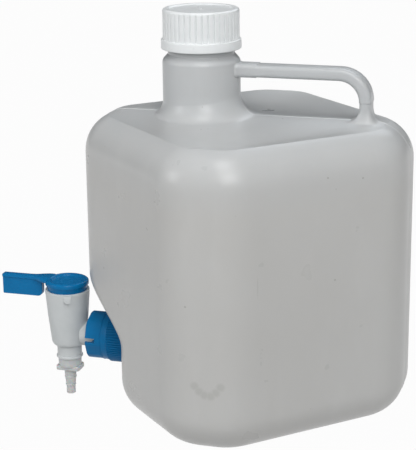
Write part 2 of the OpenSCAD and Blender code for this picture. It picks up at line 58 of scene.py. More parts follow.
# The dish's curve times this reaches 1 at its deepest; DISH_LEAST of it is left at its ends
DISH_FULL = 27 / 4
DISH_LEAST = 0.3
DISH_FRONT_FADE = 45
DISH_REAR_FADE = 40
DISH_REAR_REST = 5
WALL = 2.2
RECESS = 40.8
RECESS_LOW = 57
RECESS_HIGH = 103

NECK_Y = -37.5
NECK_R = 31
NECK_TOP_Z = RIDGE_Z + 43
NECK_WALL = 2.6
FLARE_H = 8
FLARE_MORE_H = 5
FLARE_LIP = 2
FLARE_LIP_POWER = 8
FLARE_REACH = 7.5
FLARE_MORE_REACH = 2.75
FINISH_R = 26.5
FINISH_Z = NECK_TOP_Z + 5
MOUTH_Z = FINISH_Z + 31.6
MOUTH_R = 23

GRIP_W = 18
GRIP_T = 9.5
GRIP_Z = RIDGE_Z + 36
GRIP_R = 3
GRIP_WALL = 2
POST_Y = 95.4
ELBOW_R = 21
WEB_END_Y = 8.8
WEB_PROUD = 0.5
WEB_FLARE = 1.6
POST_STEP = 0.35
POST_STEP_Z = 252.4

CAP_TOP_Z = 321
CAP_FOOT_Z = 289.5
LINER_TOP_Z = 318.1
CAP_R = 30.35
CAP_BORE_R = FINISH_R + 1.7
RING_R = 32
RING_H = 7.5
RIBS = 40
THREAD_PITCH = 4.5

SPOUT_Z = 39.5
SPOUT_R = 17
SPOUT_BORE_R = 12
RECESS_U = FRONT - RECESS
SPOUT_U = RECESS_U + 33.3
FLANGE_U = SPOUT_U + 2
FLANGE_FRONT_U = FLANGE_U + 3
NUT_FRONT_U = FLANGE_FRONT_U + 8.5
NUT_COLLAR_U = NUT_FRONT_U - 13.5
NUT_CONE_U = NUT_COLLAR_U - 6
NUT_BACK_U = NUT_CONE_U - 22
NUT_RING_R = 21.5
NUT_COLLAR_R = 20.4
NUT_FLATS = 39.6
NUT_BORE_R = SPOUT_R + 0.3
NUT_RIBS = 64
NUT_SLOT_TURN = 4

TAP_U = FLANGE_U + 33.1
RIM_Z = 78.5
RIM_R = 18.9
SEAT_FLOOR_Z = 33.5
CUP_FOOT_Z = 28.5
CUP_FOOT_R = 14.3
SEAT_R = 16.8
SEAT_FOOT_R = 12
INLET_R = 10.5
LIP_BORE_R = INLET_R + 0.4
INLET_BORE_R = 4.5
COLLAR_R = 10.5
COLLAR_FOOT_Z = 16.8
LUG_TURN = 21

HUB_R = 18.5
HUB_Z = 81
HUB_EDGE_Z = 82.8
HUB_TOP_Z = 87
DISH_R = 14
PLATE_TOP_Z = 88
LEVER_REACH = 58.5
BLADE_HALF = 2.9

NOZZLE_R = 10
PLATE_Z = 6
PLATE_UP_Z = 10
PLATE_W = 15.5
PLATE_L = 21
PLATE_R = 2.6
SOCKET_R = 7.75
NOZZLE_BORE_R = 2.5
TIP_Z = -16.4


# ---- Making meshes ----

def add_piece(name, points, faces, body, slot, material, sharp=32):
    """A mesh piece from points in millimetres, which rides on a body and has a material slot."""
    piece = bpy.data.objects.new(name, outward_mesh(name, points, faces))
    bpy.context.scene.collection.objects.link(piece)
    piece.data.materials.append(material)
    smooth(piece, sharp)
    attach(piece, body)
    return piece


def smooth(piece, sharp=32):
    piece.data.shade_smooth()
    piece.data.set_sharp_from_angle(angle=math.radians(sharp))


def dress(piece, material, sharp, node, body):
    """Gives a finished mesh its one material, and puts it in a node's place on its body."""
    piece.data.materials.clear()
    piece.data.materials.append(material)
    for face in piece.data.polygons:
        face.material_index = 0
    smooth(piece, sharp)
    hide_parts(node)
    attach(piece, body)


def stack(rings, start="fan", end="fan"):
    """Points and faces of a skin through closed rings of equal length.

    An end is a fan, open, or joined to the other end.
    """
    n = len(rings[0])
    points = [p for ring in rings for p in ring]
    faces = []
    for k in range(len(rings) - 1):
        for i in range(n):
            j = (i + 1) % n
            faces.append((k * n + i, k * n + j, (k + 1) * n + j, (k + 1) * n + i))
    last = (len(rings) - 1) * n
    if start == "joined":
        faces += [(last + i, last + (i + 1) % n, (i + 1) % n, i) for i in range(n)]
        return points, faces
    if start == "fan":
        points.append(middle(rings[0]))
        faces += [((i + 1) % n, i, len(points) - 1) for i in range(n)]
    if end == "fan":
        points.append(middle(rings[-1]))
        faces += [(last + i, last + (i + 1) % n, len(points) - 1) for i in range(n)]
    return points, faces


def middle(ring):
    return tuple(sum(p[axis] for p in ring) / len(ring) for axis in range(3))


def combine(target, tool, operation):
    """Joins tool to target, or cuts it away, and deletes it."""
    modifier = target.modifiers.new("combine", "BOOLEAN")
    modifier.operation = operation
    modifier.solver = "MANIFOLD"
    modifier.object = tool
    bpy.context.view_layer.update()
    evaluated = target.evaluated_get(bpy.context.evaluated_depsgraph_get())
    made = bpy.data.meshes.new_from_object(evaluated)
    target.modifiers.clear()
    target.data = made
    bpy.data.objects.remove(tool)


def outward_mesh(name, points, faces):
    """A mesh in metres from points in millimetres, with its faces turned outwards."""
    made = bmesh.new()
    corners = [made.verts.new(Vector(p) * MM) for p in points]
    for face in faces:
        made.faces.new([corners[i] for i in face])
    if made.calc_volume(signed=True) < 0:
        bmesh.ops.reverse_faces(made, faces=made.faces)
    mesh = bpy.data.meshes.new(name)
    made.to_mesh(mesh)
    made.free()
    return mesh


def tool_piece(name, points, faces):
    """A helper mesh in millimetres for combine()."""
    mesh = outward_mesh(name, points, faces)
    helper = bpy.data.objects.new(name, mesh)
    bpy.context.scene.collection.objects.link(helper)
    return helper


def smoothstep(u):
    v = min(max(u, 0.0), 1.0)
    return v * v * (3 - 2 * v)


def rounded_profile(corners, steps=5):
    """Points (r, z) through corners (r, z, fillet radius), with an arc at each corner that has a radius."""
    made = []
    for k, (r, z, fillet) in enumerate(corners):
        here = Vector((r, z))
        if not fillet or k in (0, len(corners) - 1):
            made.append((r, z))
            continue
        back = Vector(corners[k - 1][:2]) - here
        ahead = Vector(corners[k + 1][:2]) - here
        turn = back.angle(ahead)
        reach = min(fillet / math.tan(turn / 2), back.length * 0.49, ahead.length * 0.49)
        start = here + back.normalized() * reach
        finish = here + ahead.normalized() * reach
        radius = reach * math.tan(turn / 2)
        centre = here + (back.normalized() + ahead.normalized()).normalized() * radius / math.sin(turn / 2)
        a = math.atan2(*(start - centre).yx)
        b = math.atan2(*(finish - centre).yx)
        sweep = (b - a + math.pi) % TAU - math.pi
        for j in range(steps + 1):
            angle = a + sweep * j / steps
            made.append((centre.x + radius * math.cos(angle), centre.y + radius * math.sin(angle)))
    return made


def turned(profile, place, segments, ripple=None):
    """Points and faces of a profile (r, z) turned about its axis.

    A profile that starts and ends off the axis is closed on itself.
    """
    rings = []
    for r, z in profile:
        ring = []
        for i in range(segments):
            angle = TAU * i / segments
            reach = ripple(r, z, angle) if ripple else r
            ring.append(place(reach * math.cos(angle), reach * math.sin(angle), z))
        rings.append(ring)
    on_axis = profile[0][0] < 1e-6
    if on_axis:
        return stack(rings[1:-1]) if len(rings) > 2 else stack(rings)
    return stack(rings, "joined")


def neck_place(x, y, z):
    return (x, NECK_Y + y, z)


def tap_place(x, y, z):
    return (x, y - TAP_U, z)


def spout_place(x, y, u):
    """u runs out along -Y from the centre, and the local y is up."""
    return (-x, -u, SPOUT_Z + y)


# ---- Bottle ----

ARC_STEPS = 12
FACE_STEPS = 14
FLAT_STEPS = 8
CURVE_STEPS = 12
TOP_STEPS = 22
ELBOW_STEPS = 18
FOOT_STEPS = 14
SEAM_X = (0.45, 1.0, 2.2)
SEAM_H = 0.28
SEAM_FOOT = 0.35
PANEL_BOW = 0.5
FLARE_STEPS = (1, 0.82, 0.66, 0.52, 0.4, 0.3, 0.21, 0.13, 0.07, 0.03, 0)
BASE_PUSH_UP = ((0.12, 1.1), (0.45, 1.1), (0.78, 1.0), (0.9, 0.75), (0.95, 0.3), (0.98, 0.05))
BODY_STEPS = 44


def front_at(z):
    """Distance of the front wall from the centre at height z."""
    return FRONT - RECESS * (1 - smoothstep((z - RECESS_LOW) / (RECESS_HIGH - RECESS_LOW)))


def spread(a, b, count):
    """Points strictly between a and b."""
    return [a + (b - a) * k / (count + 1) for k in range(1, count + 1)]


def plan(front, inset, bow=0.0):
    """The body's plan as points, moved in by inset, anticlockwise from the front flat's left end."""
    r = max(EDGE_R - inset, 5)
    dist = [front, FACE, SIDE, FACE, REAR, FACE, SIDE, FACE]
    c = math.cos(math.radians(45))
    arcs = []
    for i in range(8):
        a = dist[i] - inset - r
        b = dist[(i + 1) % 8] - inset - r
        da = Vector((math.cos(TAU * (i - 2) / 8), math.sin(TAU * (i - 2) / 8)))
        db = Vector((math.cos(TAU * (i - 1) / 8), math.sin(TAU * (i - 1) / 8)))
        centre = (da * (a - b * c) + db * (b - a * c)) / (1 - c * c)
        angles = [TAU * (i - 2 + j / ARC_STEPS) / 8 for j in range(ARC_STEPS + 1)]
        arcs.append([centre + r * Vector((math.cos(t), math.sin(t))) for t in angles])
    points = []
    for i in range(8):
        before, after = arcs[i - 1][-1], arcs[i][0]
        out = Vector((math.cos(TAU * (i - 2) / 8), math.sin(TAU * (i - 2) / 8)))
        if i % 4 == 0:
            points += seamed(before, after, out)
        else:
            count = FACE_STEPS if i % 2 else FLAT_STEPS
            between = spread(before, after, count)
            swell = bow if i % 2 else 0
            points += [p + out * swell * math.sin(math.pi * (k + 1) / (count + 1)) ** 2
                       for k, p in enumerate(between)]
        points += arcs[i]
    return points


def seamed(before, after, out):
    """A flat's inner points, with the parting line's own columns in the middle."""
    side = 1 if after.x > before.x else -1
    y = before.y
    half = abs(after.x)
    outer = [half + (SEAM_X[-1] - half) * k / 4 for k in (1, 2, 3)]
    xs = [-x for x in outer] + [-x for x in reversed(SEAM_X)] + [0] + list(SEAM_X) + list(reversed(outer))
    lift = {0: SEAM_H, SEAM_X[0]: SEAM_H * SEAM_FOOT}
    return [Vector((side * x, y)) + out * lift.get(abs(x), 0) for x in xs]


def crest_shape():
    """The crest ring, its height, and a function for its half width at distance y."""
    inset = SHOULDER_R * (1 - math.cos(CREST_ANGLE))
    z = RIDGE_Z - SHOULDER_R + SHOULDER_R * math.sin(CREST_ANGLE)
    ring = plan(FRONT, inset)
    right = sorted(((p.y, p.x) for p in ring if p.x > SEAM_X[-1] + 0.1))

    def half_width(y):
        for (y0, x0), (y1, x1) in zip(right, right[1:]):
            if y0 <= y <= y1 and y1 > y0:
                return x0 + (x1 - x0) * (y - y0) / (y1 - y0)
        return right[0][1] if y < right[0][0] else right[-1][1]

    return ring, z, half_width


CREST, CREST_Z, crest_half = crest_shape()
CREST_MOST = max(p.x for p in CREST)


def top_z(x, y):
    """Height of the dished top: a ridge along the middle and a shallow dish on each side."""
    past = max(abs(y) - FRONT + SHOULDER_R, 0)
    ridge = RIDGE_Z - SHOULDER_R + math.sqrt(max(SHOULDER_R ** 2 - past ** 2, 0))
    half = crest_half(y)
    up = max(1 - abs(x) / half, 0)
    front_fade = smoothstep((y - NECK_Y) / DISH_FRONT_FADE)
    rear_fade = smoothstep((POST_Y + DISH_REAR_REST - y) / DISH_REAR_FADE)
    along = front_fade * rear_fade
    share = min(half / CREST_MOST, 1) * (DISH_LEAST + (1 - DISH_LEAST) * along)
    return CREST_Z + (ridge - CREST_Z) * up - DISH * share * DISH_FULL * up * (1 - up) ** 2


def neck_flare(y_part, u):
    """Height of the neck's flare over the top at share u of its reach; y_part is -1 in front and 1 behind."""
    rear = (1 + y_part) / 2
    high = FLARE_H + FLARE_MORE_H * rear
    return high * (1 - u) ** 2 + (FLARE_LIP + rear) * (1 - u) ** FLARE_LIP_POWER


def neck_flare_reach(y_part):
    return FLARE_REACH + FLARE_MORE_REACH * (1 + y_part)


def top_rings(rise):
    """Rings from the crest in to the neck, moved by rise."""
    inner = []
    for p in CREST:
        if abs(p.x) <= SEAM_X[-1] + 0.01:
            side = 1 if p.y > NECK_Y else -1
            inner.append(Vector((p.x, NECK_Y + side * math.sqrt(NECK_R ** 2 - p.x ** 2))))
        else:
            away = p - Vector((0, NECK_Y))
            inner.append(Vector((0, NECK_Y)) + away.normalized() * NECK_R)
    out_steps = [0.012, 0.028] + [k / TOP_STEPS for k in range(1, TOP_STEPS)]
    rings = []
    for kind, steps in (("out", out_steps), ("flare", FLARE_STEPS)):
        for s in steps:
            ring = []
            for p, q in zip(CREST, inner):
                y_part = (q.y - NECK_Y) / NECK_R
                reach = neck_flare_reach(y_part)
                way = (p - q).normalized()
                edge = q + way * reach
                if kind == "out":
                    at = p + (edge - p) * s
                    lift = 0
                else:
                    at = q + way * reach * s
                    lift = neck_flare(y_part, s)
                seam = seam_lift(p.x) if abs(p.x) <= SEAM_X[-1] else 0
                ring.append((at.x, at.y, top_z(at.x, at.y) + lift + seam + rise))
            rings.append(ring)
    return rings, inner


def seam_lift(column):
    """How far the parting line stands up at a column of points."""
    if abs(column) < 0.01:
        return SEAM_H
    return SEAM_H * SEAM_FOOT if abs(abs(column) - SEAM_X[0]) < 0.01 else 0


def at_height(points, z):
    return [(p[0], p[1], z) for p in points]


def body_rings(inset, rise):
    """Rings of the skin from the base to the crest, moved in by inset; rise lifts the base."""
    rings = []
    base = plan(front_at(0), BASE_R, 0)
    for share, z in BASE_PUSH_UP:
        rings.append(at_height([p * share for p in base], z + rise))
    for j in range(CURVE_STEPS + 1):
        a = math.pi / 2 * j / CURVE_STEPS
        r = BASE_R - inset
        rings.append(at_height(plan(front_at(0), BASE_R - r * math.sin(a)), BASE_R - r * math.cos(a)))
    low, high = BASE_R, RIDGE_Z - SHOULDER_R
    heights = [low + (high - low) * k / BODY_STEPS for k in range(1, BODY_STEPS)]
    for z in heights:
        bow = PANEL_BOW * math.sin(math.pi * (z - low) / (high - low))
        rings.append(at_height(plan(front_at(z - inset / 2), inset, bow), z))
    for j in [*range(CURVE_STEPS), CURVE_STEPS - 0.3, CURVE_STEPS]:
        a = CREST_ANGLE * j / CURVE_STEPS
        r = SHOULDER_R - inset
        z = RIDGE_Z - SHOULDER_R + r * math.sin(a)
        rings.append(at_height(plan(FRONT, SHOULDER_R - r * math.cos(a)), z))
    return rings


def on_neck(inner, r, z):
    """A ring of radius r about the neck's axis, with its points in line with the top's columns."""
    return [(p.x * r / NECK_R, NECK_Y + (p.y - NECK_Y) * r / NECK_R, z) for p in inner]


def bottle_skin():
    outer = body_rings(0, 0)
    top, inner = top_rings(0)
    outer += top
    highest = max(p[2] for p in top[-1])
    outside = [(NECK_R, highest + 3, 0), (NECK_R, NECK_TOP_Z, 5), (FINISH_R, FINISH_Z, 1),
               (FINISH_R, MOUTH_Z, 0.8), (MOUTH_R, MOUTH_Z, 0.8), (MOUTH_R, FINISH_Z, 2),
               (NECK_R - NECK_WALL, NECK_TOP_Z - NECK_WALL, 3), (NECK_R - NECK_WALL, highest - 6, 0)]
    outer += [on_neck(inner, r, z) for r, z in rounded_profile(outside, 6)]
    under = []
    for k, ring in enumerate(reversed(top)):
        lowered = [(x, y, z - WALL) for x, y, z in ring]
        share = k / len(FLARE_STEPS)
        under.append([near_bore(p, share) for p in lowered] if share < 1 else lowered)
    inner_body = body_rings(WALL, WALL)
    under += list(reversed(inner_body))
    return stack(outer + under)


def near_bore(p, share):
    """A point of the flare's underside, drawn in towards the bore at its top."""
    x, y, z = p
    away = math.hypot(x, y - NECK_Y)
    wanted = away - NECK_WALL * (1 - share)
    return (x * wanted / away, NECK_Y + (y - NECK_Y) * wanted / away, z)


def section(w, t, r, count=5):
    """A rounded rectangle, w across and t through, as points (x, v)."""
    points = []
    for sx, sv, start in ((1, 1, 0), (-1, 1, 90), (-1, -1, 180), (1, -1, 270)):
        for j in range(count + 1):
            a = math.radians(start + 90 * j / count)
            points.append((sx * (w / 2 - r) + r * math.cos(a), sv * (t / 2 - r) + r * math.sin(a)))
        if sx * sv > 0 and sx > 0:
            points.append((0, t / 2))
        if sx < 0 and sv < 0:
            points.append((0, -t / 2))
    return points


def grip_ring(w, t, r, y, z, tilt):
    """The section standing across the grip's path; tilt is 0 on the level run and 90 on the post."""
    c, s = math.cos(math.radians(tilt)), math.sin(math.radians(tilt))
    return [(x, y + v * s, z + v * c) for x, v in section(w, t, r)]


def handle(inset, start_y, foot_z):
    """Rings of the grip, elbow and post, moved in by inset."""
    w, t, r = GRIP_W - 2 * inset, GRIP_T - 2 * inset, max(GRIP_R - inset / 2, 1)
    elbow_y, elbow_z = POST_Y - ELBOW_R, GRIP_Z - ELBOW_R
    rings = []
    if inset == 0:
        neck_back = NECK_Y + NECK_R
        rings.append(grip_ring(w + 3.4, t + 3.4 + 2 * WEB_PROUD, r + 1.7, neck_back - 2.6, GRIP_Z, 0))
        for k in range(6):
            u = (k + 0.5) / 6
            grow = WEB_FLARE * (1 - math.sqrt(1 - (1 - u) ** 2))
            y = neck_back - 1.4 + 3 * u
            rings.append(grip_ring(w + 2 * grow, t + 2 * (grow + WEB_PROUD), r + grow, y, GRIP_Z, 0))
        for y, proud in ((WEB_END_Y - 0.5, WEB_PROUD), (WEB_END_Y, 0.35), (WEB_END_Y + 0.4, 0)):
            rings.append(grip_ring(w, t + 2 * proud, r, y, GRIP_Z, 0))
    else:
        rings.append(grip_ring(w, t, r, start_y, GRIP_Z, 0))
    for k in range(1, 9):
        rings.append(grip_ring(w, t, r, WEB_END_Y + 2 + (elbow_y - WEB_END_Y - 2) * k / 9, GRIP_Z, 0))
    for k in range(ELBOW_STEPS + 1):
        tilt = 90 * k / ELBOW_STEPS
        a = math.radians(tilt)
        y = elbow_y + ELBOW_R * math.sin(a)
        z = elbow_z + ELBOW_R * math.cos(a)
        rings.append(grip_ring(w, t, r, y, z, tilt))
    if inset == 0:
        for drop, pinch in ((0, 0), (0.4, 0.3), (1.4, POST_STEP), (2.2, POST_STEP)):
            rings.append(grip_ring(w - 2 * pinch, t - 2 * pinch, r, POST_Y, POST_STEP_Z - drop, 90))
        for k in range(FOOT_STEPS + 1):
            turn = math.radians(90 * k / FOOT_STEPS)
            rings.append(foot_ring(w - 2 * POST_STEP, t - 2 * POST_STEP, r, turn))
        rings.append([(x, y, RIDGE_Z - 5) for x, y, z in rings[-1]])
    else:
        rings.append(grip_ring(w, t, r, POST_Y, foot_z, 90))
    return stack(rings)


FOOT_H = 11
FOOT_SINK = 0.12
FOOT_FRONT = 10
FOOT_REAR = 6.5
FOOT_SIDE = 5


def foot_ring(w, t, r, turn):
    """One ring of the post's flared foot; turn runs from 0 at its top to a right angle on the body's top."""
    u, out = 1 - math.sin(turn), 1 - math.cos(turn)
    ring = []
    for x, v in section(w, t, r):
        reach = FOOT_FRONT if v < 0 else FOOT_REAR
        px = x * (1 + out * FOOT_SIDE / (w / 2))
        py = POST_Y + v * (1 + out * reach / (t / 2))
        ring.append((px, py, top_z(px, py) - FOOT_SINK + FOOT_H * u + (RIDGE_Z - top_z(px, py)) * u))
    return ring


def add_bottle(material):
    points, faces = bottle_skin()
    bottle = tool_piece("bottle_shell", points, faces)
    combine(bottle, tool_piece("handle", *handle(0, 0, 0)), "UNION")
    root_r = SPOUT_R + 5
    spout = rounded_profile([(0, RECESS_U - 4, 0), (root_r, RECESS_U - 4, 0), (root_r, RECESS_U + 0.2, 0),
                             (SPOUT_R, RECESS_U + 0.8, 4), (SPOUT_R, SPOUT_U, 0.8), (0, SPOUT_U, 0)])
    combine(bottle, tool_piece("spout", *turned(spout, spout_place, 96)), "UNION")
    bore = [(0, RECESS_U - 10), (SPOUT_BORE_R, RECESS_U - 10), (SPOUT_BORE_R, SPOUT_U + 2), (0, SPOUT_U + 2)]
    combine(bottle, tool_piece("bore", *turned(bore, spout_place, 96)), "DIFFERENCE")
    combine(bottle, tool_piece("hollow", *handle(GRIP_WALL, WEB_END_Y, RIDGE_Z - 3 * WALL)), "DIFFERENCE")
    dress(bottle, material, 30, "bottle", "carboy")


# ---- Closure ----

def add_cap(material):
    """Cap with wide ribs over a plain ring, a sunken disc on top, and a thread inside."""
    groove = 1.0
    ribs_low, ribs_high = CAP_FOOT_Z + RING_H, CAP_TOP_Z - 1.6

    def ribs(r, z, angle):
        if r < CAP_R - 1.2 or z < ribs_low - 0.01 or z > CAP_TOP_Z:
            return r
        turn = (angle * RIBS / TAU) % 1
        edge = min(turn, 1 - turn)
        depth = 1 - smoothstep((edge - 0.06) / 0.11)
        fade = smoothstep((ribs_high - z) / 1.2) * smoothstep((z - ribs_low) / 0.5)
        return r - groove * depth * fade

    disc_z = CAP_TOP_Z - 1
    disc_r = CAP_R - 5.2
    outside = [(0, disc_z + 0.5, 0), (1.0, disc_z + 0.45, 0.3), (1.5, disc_z, 0.3), (disc_r, disc_z, 0.7),
               (disc_r + 1.1, CAP_TOP_Z, 1.0), (CAP_R, CAP_TOP_Z, 2.2)]
    profile = rounded_profile(outside + [(CAP_R, CAP_TOP_Z - 4, 0)])
    profile += [(CAP_R, z) for z in spread(CAP_TOP_Z - 4, ribs_low + 1, 6)]
    skirt = [(CAP_R, ribs_low + 1, 0), (CAP_R, ribs_low, 0.25), (RING_R - 0.25, ribs_low, 0.9),
             (RING_R, CAP_FOOT_Z, 0.9), (CAP_BORE_R, CAP_FOOT_Z, 0.6),
             (CAP_BORE_R, LINER_TOP_Z, 0.4), (0, LINER_TOP_Z, 0)]
    profile += rounded_profile(skirt)
    points, faces = turned(profile, neck_place, RIBS * 14, ribs)
    cap = add_piece("cap_shell", points, faces, "cap", "white_pp", material, 40)
    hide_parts("cap")
    thread = helix(CAP_BORE_R + 0.1, -1.2, 1.6, 1.5, CAP_FOOT_Z + 7)
    add_piece("cap_thread", *thread, "cap", "white_pp", material)


def helix(root_r, height, width, turns, low_z):
    """A thread ridge on a wall of radius root_r, with tapered ends; a negative height points inwards."""
    steps = int(turns * 60)
    rings = []
    for k in range(steps + 1):
        share = k / steps
        angle = TAU * turns * share
        grow = smoothstep(share * turns * 8) * smoothstep((1 - share) * turns * 8)
        z = low_z + THREAD_PITCH * turns * share
        sink = -0.15 if height > 0 else 0.15
        ring = []
        top = height * grow
        for dr, dz in ((sink, -0.5), (top * 0.9, -0.2), (top, 0), (top * 0.9, 0.2), (sink, 0.5)):
            r = root_r + dr
            ring.append(neck_place(r * math.cos(angle), r * math.sin(angle), z + dz * width))
        rings.append(ring if height < 0 else list(reversed(ring)))
    return stack(rings)


def add_neck_thread(material):
    thread = helix(FINISH_R, 1.1, 2.2, 2.2, FINISH_Z + 8)
    add_piece("neck_thread", *thread, "carboy", "natural_hdpe", material)


# ---- Spigot ----

def add_nut(material):
    """Union nut: a finely ribbed ring, a cone, and a collar with eight soft flats and two slots."""
    root = 0.9

    def outline(r, u, angle):
        if r < NUT_BORE_R + 1:
            return r
        if u <= NUT_CONE_U + 0.01:
            turn = (angle * NUT_RIBS / TAU) % 1
            depth = smoothstep((abs(turn - 0.5) * 2 - 0.4) / 0.3)
            fade = smoothstep((u - NUT_BACK_U) / 0.8) * smoothstep((NUT_CONE_U - u) / 0.8 + 0.3)
            return r - root * depth * fade
        if u >= NUT_COLLAR_U - 0.01:
            flat = (angle % (TAU / 8)) - TAU / 16
            return min(r, NUT_FLATS / 2 / math.cos(flat) - (NUT_COLLAR_R - r))
        return r

    lip_u = FLANGE_FRONT_U + 3.5
    corners = [(NUT_BORE_R, NUT_BACK_U, 0.3), (NUT_RING_R, NUT_BACK_U, 0.8), (NUT_RING_R, NUT_BACK_U + 7, 0),
               (NUT_RING_R, NUT_BACK_U + 15, 0), (NUT_RING_R, NUT_CONE_U, 0.5),
               (NUT_RING_R - root, NUT_CONE_U + 0.3, 0.3), (NUT_COLLAR_R - 0.4, NUT_COLLAR_U - 0.6, 0.3),
               (NUT_COLLAR_R, NUT_COLLAR_U, 0.3), (NUT_COLLAR_R, NUT_FRONT_U - 4, 0),
               (NUT_COLLAR_R, NUT_FRONT_U, 1.4), (NUT_BORE_R, NUT_FRONT_U, 0.5), (NUT_BORE_R, lip_u, 0.3),
               (LIP_BORE_R, lip_u, 0.3), (LIP_BORE_R, FLANGE_FRONT_U, 0.2),
               (NUT_BORE_R, FLANGE_FRONT_U, 0.2), (NUT_BORE_R, NUT_BACK_U + 4, 0)]
    points, faces = turned(rounded_profile(corners), spout_place, NUT_RIBS * 10, outline)
    nut = tool_piece("nut_shell", points, faces)
    for side in (0, 180):
        combine(nut, slot_tool(side + NUT_SLOT_TURN), "DIFFERENCE")
    dress(nut, material, 32, "union_nut", "carboy")


def slot_tool(turn):
    """A block that cuts one slot in the nut's collar."""
    half_w, low_u, far = 1.85, NUT_FRONT_U - 9, NUT_RING_R + 4
    a = math.radians(turn)
    rings = []
    for u in (low_u, NUT_FRONT_U + 1):
        ring = []
        for r, v in ((LIP_BORE_R, -half_w), (far, -half_w), (far, half_w), (LIP_BORE_R, half_w)):
            x, y = r * math.cos(a) - v * math.sin(a), r * math.sin(a) + v * math.cos(a)
            ring.append((x, -u, SPOUT_Z + y))
        rings.append(ring)
    return tool_piece("slot_tool", *stack(rings))


def add_tap(material):
    """Tap body: a goblet-shaped cup with a lug, a tapered seat, a flanged inlet tube and a beaded collar."""
    cup = [(0, CUP_FOOT_Z, 0), (CUP_FOOT_R, CUP_FOOT_Z, 5), (RIM_R - 1.6, SPOUT_Z + 16.5, 40),
           (RIM_R, RIM_Z - 2, 8), (RIM_R, RIM_Z, 0.5), (SEAT_R, RIM_Z, 0.3),
           (SEAT_FOOT_R, SEAT_FLOOR_Z, 0.8), (0, SEAT_FLOOR_Z, 0)]
    tap = tool_piece("tap_shell", *turned(rounded_profile(cup, 8), tap_place, 160))
    foot = [(0, COLLAR_FOOT_Z - 5.6, 0), (7.7, COLLAR_FOOT_Z - 5.6, 0.5), (7.7, COLLAR_FOOT_Z, 0.2),
            (COLLAR_R, COLLAR_FOOT_Z, 0.4), (COLLAR_R, COLLAR_FOOT_Z + 0.5, 0.2),
            (COLLAR_R + 0.8, COLLAR_FOOT_Z + 0.9, 0.5), (COLLAR_R + 0.8, COLLAR_FOOT_Z + 2.2, 0.5),
            (COLLAR_R, COLLAR_FOOT_Z + 2.7, 0.4),
            (COLLAR_R, CUP_FOOT_Z + 2.5, 0), (0, CUP_FOOT_Z + 2.5, 0)]
    combine(tap, tool_piece("foot", *turned(rounded_profile(foot), tap_place, 120)), "UNION")
    inlet_end = TAP_U - SEAT_FOOT_R - 1.2
    inlet = [(0, FLANGE_U, 0), (SPOUT_R, FLANGE_U, 0.4), (SPOUT_R, FLANGE_FRONT_U, 0.4),
             (INLET_R, FLANGE_FRONT_U, 0.3), (INLET_R, inlet_end, 0), (0, inlet_end, 0)]
    combine(tap, tool_piece("inlet", *turned(rounded_profile(inlet), spout_place, 120)), "UNION")
    combine(tap, lug_tool(), "UNION")
    outlet = [(0, COLLAR_FOOT_Z - 8), (5, COLLAR_FOOT_Z - 8), (5, SEAT_FLOOR_Z + 1), (0, SEAT_FLOOR_Z + 1)]
    combine(tap, tool_piece("outlet", *turned(outlet, tap_place, 64)), "DIFFERENCE")
    way = [(0, FLANGE_U - 1), (INLET_BORE_R, FLANGE_U - 1), (INLET_BORE_R, TAP_U), (0, TAP_U)]
    combine(tap, tool_piece("way", *turned(way, spout_place, 64)), "DIFFERENCE")
    dress(tap, material, 32, "tap_body", "carboy")


def port_place(x, y, u):
    """u runs out along +X from the plug's axis at the inlet's height."""
    return (u, -TAP_U + x, SPOUT_Z + y)


def lug_tool():
    """The stop lug, a small block with a round foot and soft edges."""
    turn = math.radians(LUG_TURN)
    half_w, high_z, foot_z = 3.3, RIM_Z - 0.5, RIM_Z - 7.5
    outline = [(-half_w, high_z), (-half_w, foot_z + half_w)]
    outline += [(half_w * math.cos(a), foot_z + half_w + half_w * math.sin(a))
                for a in (math.radians(180 + 15 * k) for k in range(1, 12))]
    outline += [(half_w, foot_z + half_w), (half_w, high_z)]
    rings = []
    for r, shrink in ((RIM_R - 1.8, 0), (RIM_R + 1.5, 0), (RIM_R + 1.9, 0.15), (RIM_R + 2, 0.5)):
        ring = []
        for v, z in outline:
            mid_z = high_z - 3
            v2, z2 = v * (1 - shrink / half_w), mid_z + (z - mid_z) * (1 - shrink / 3.5)
            x, y = r * math.cos(turn) - v2 * math.sin(turn), r * math.sin(turn) + v2 * math.cos(turn)
            ring.append(tap_place(x, y, z2))
        rings.append(ring)
    return tool_piece("lug", *stack(rings))


def add_lever(material):
    """Lever: a round hub with a sunken dish over a hollow taper plug, and an arm of a plate over a blade."""
    plug_foot_z = SEAT_FLOOR_Z + 0.6
    dish_z = HUB_TOP_Z - 1.8
    gap = 0.08
    outer = [(0, dish_z, 0), (DISH_R - 1.2, dish_z, 1.0), (DISH_R + 0.6, HUB_TOP_Z, 1.6),
             (HUB_R, HUB_TOP_Z, 2.1), (HUB_R, HUB_EDGE_Z, 2.1), (SEAT_R + 0.7, HUB_EDGE_Z, 0.5),
             (SEAT_R - gap, RIM_Z, 1), (SEAT_FOOT_R, plug_foot_z, 0.5), (SEAT_FOOT_R - 2.4, plug_foot_z, 0.5),
             (SEAT_R - 2.5, HUB_Z - 5, 1.5), (0, HUB_Z - 2.4, 0)]
    lever = tool_piece("lever_shell", *turned(rounded_profile(outer, 7), tap_place, 144))
    combine(lever, tool_piece("plate", *plate_tool()), "UNION")
    combine(lever, tool_piece("blade", *blade_tool()), "UNION")
    port = [(0, 4), (INLET_BORE_R, 4), (INLET_BORE_R, SEAT_R + 4), (0, SEAT_R + 4)]
    combine(lever, tool_piece("port", *turned(port, port_place, 48)), "DIFFERENCE")
    dress(lever, material, 34, "lever_plug", "lever")


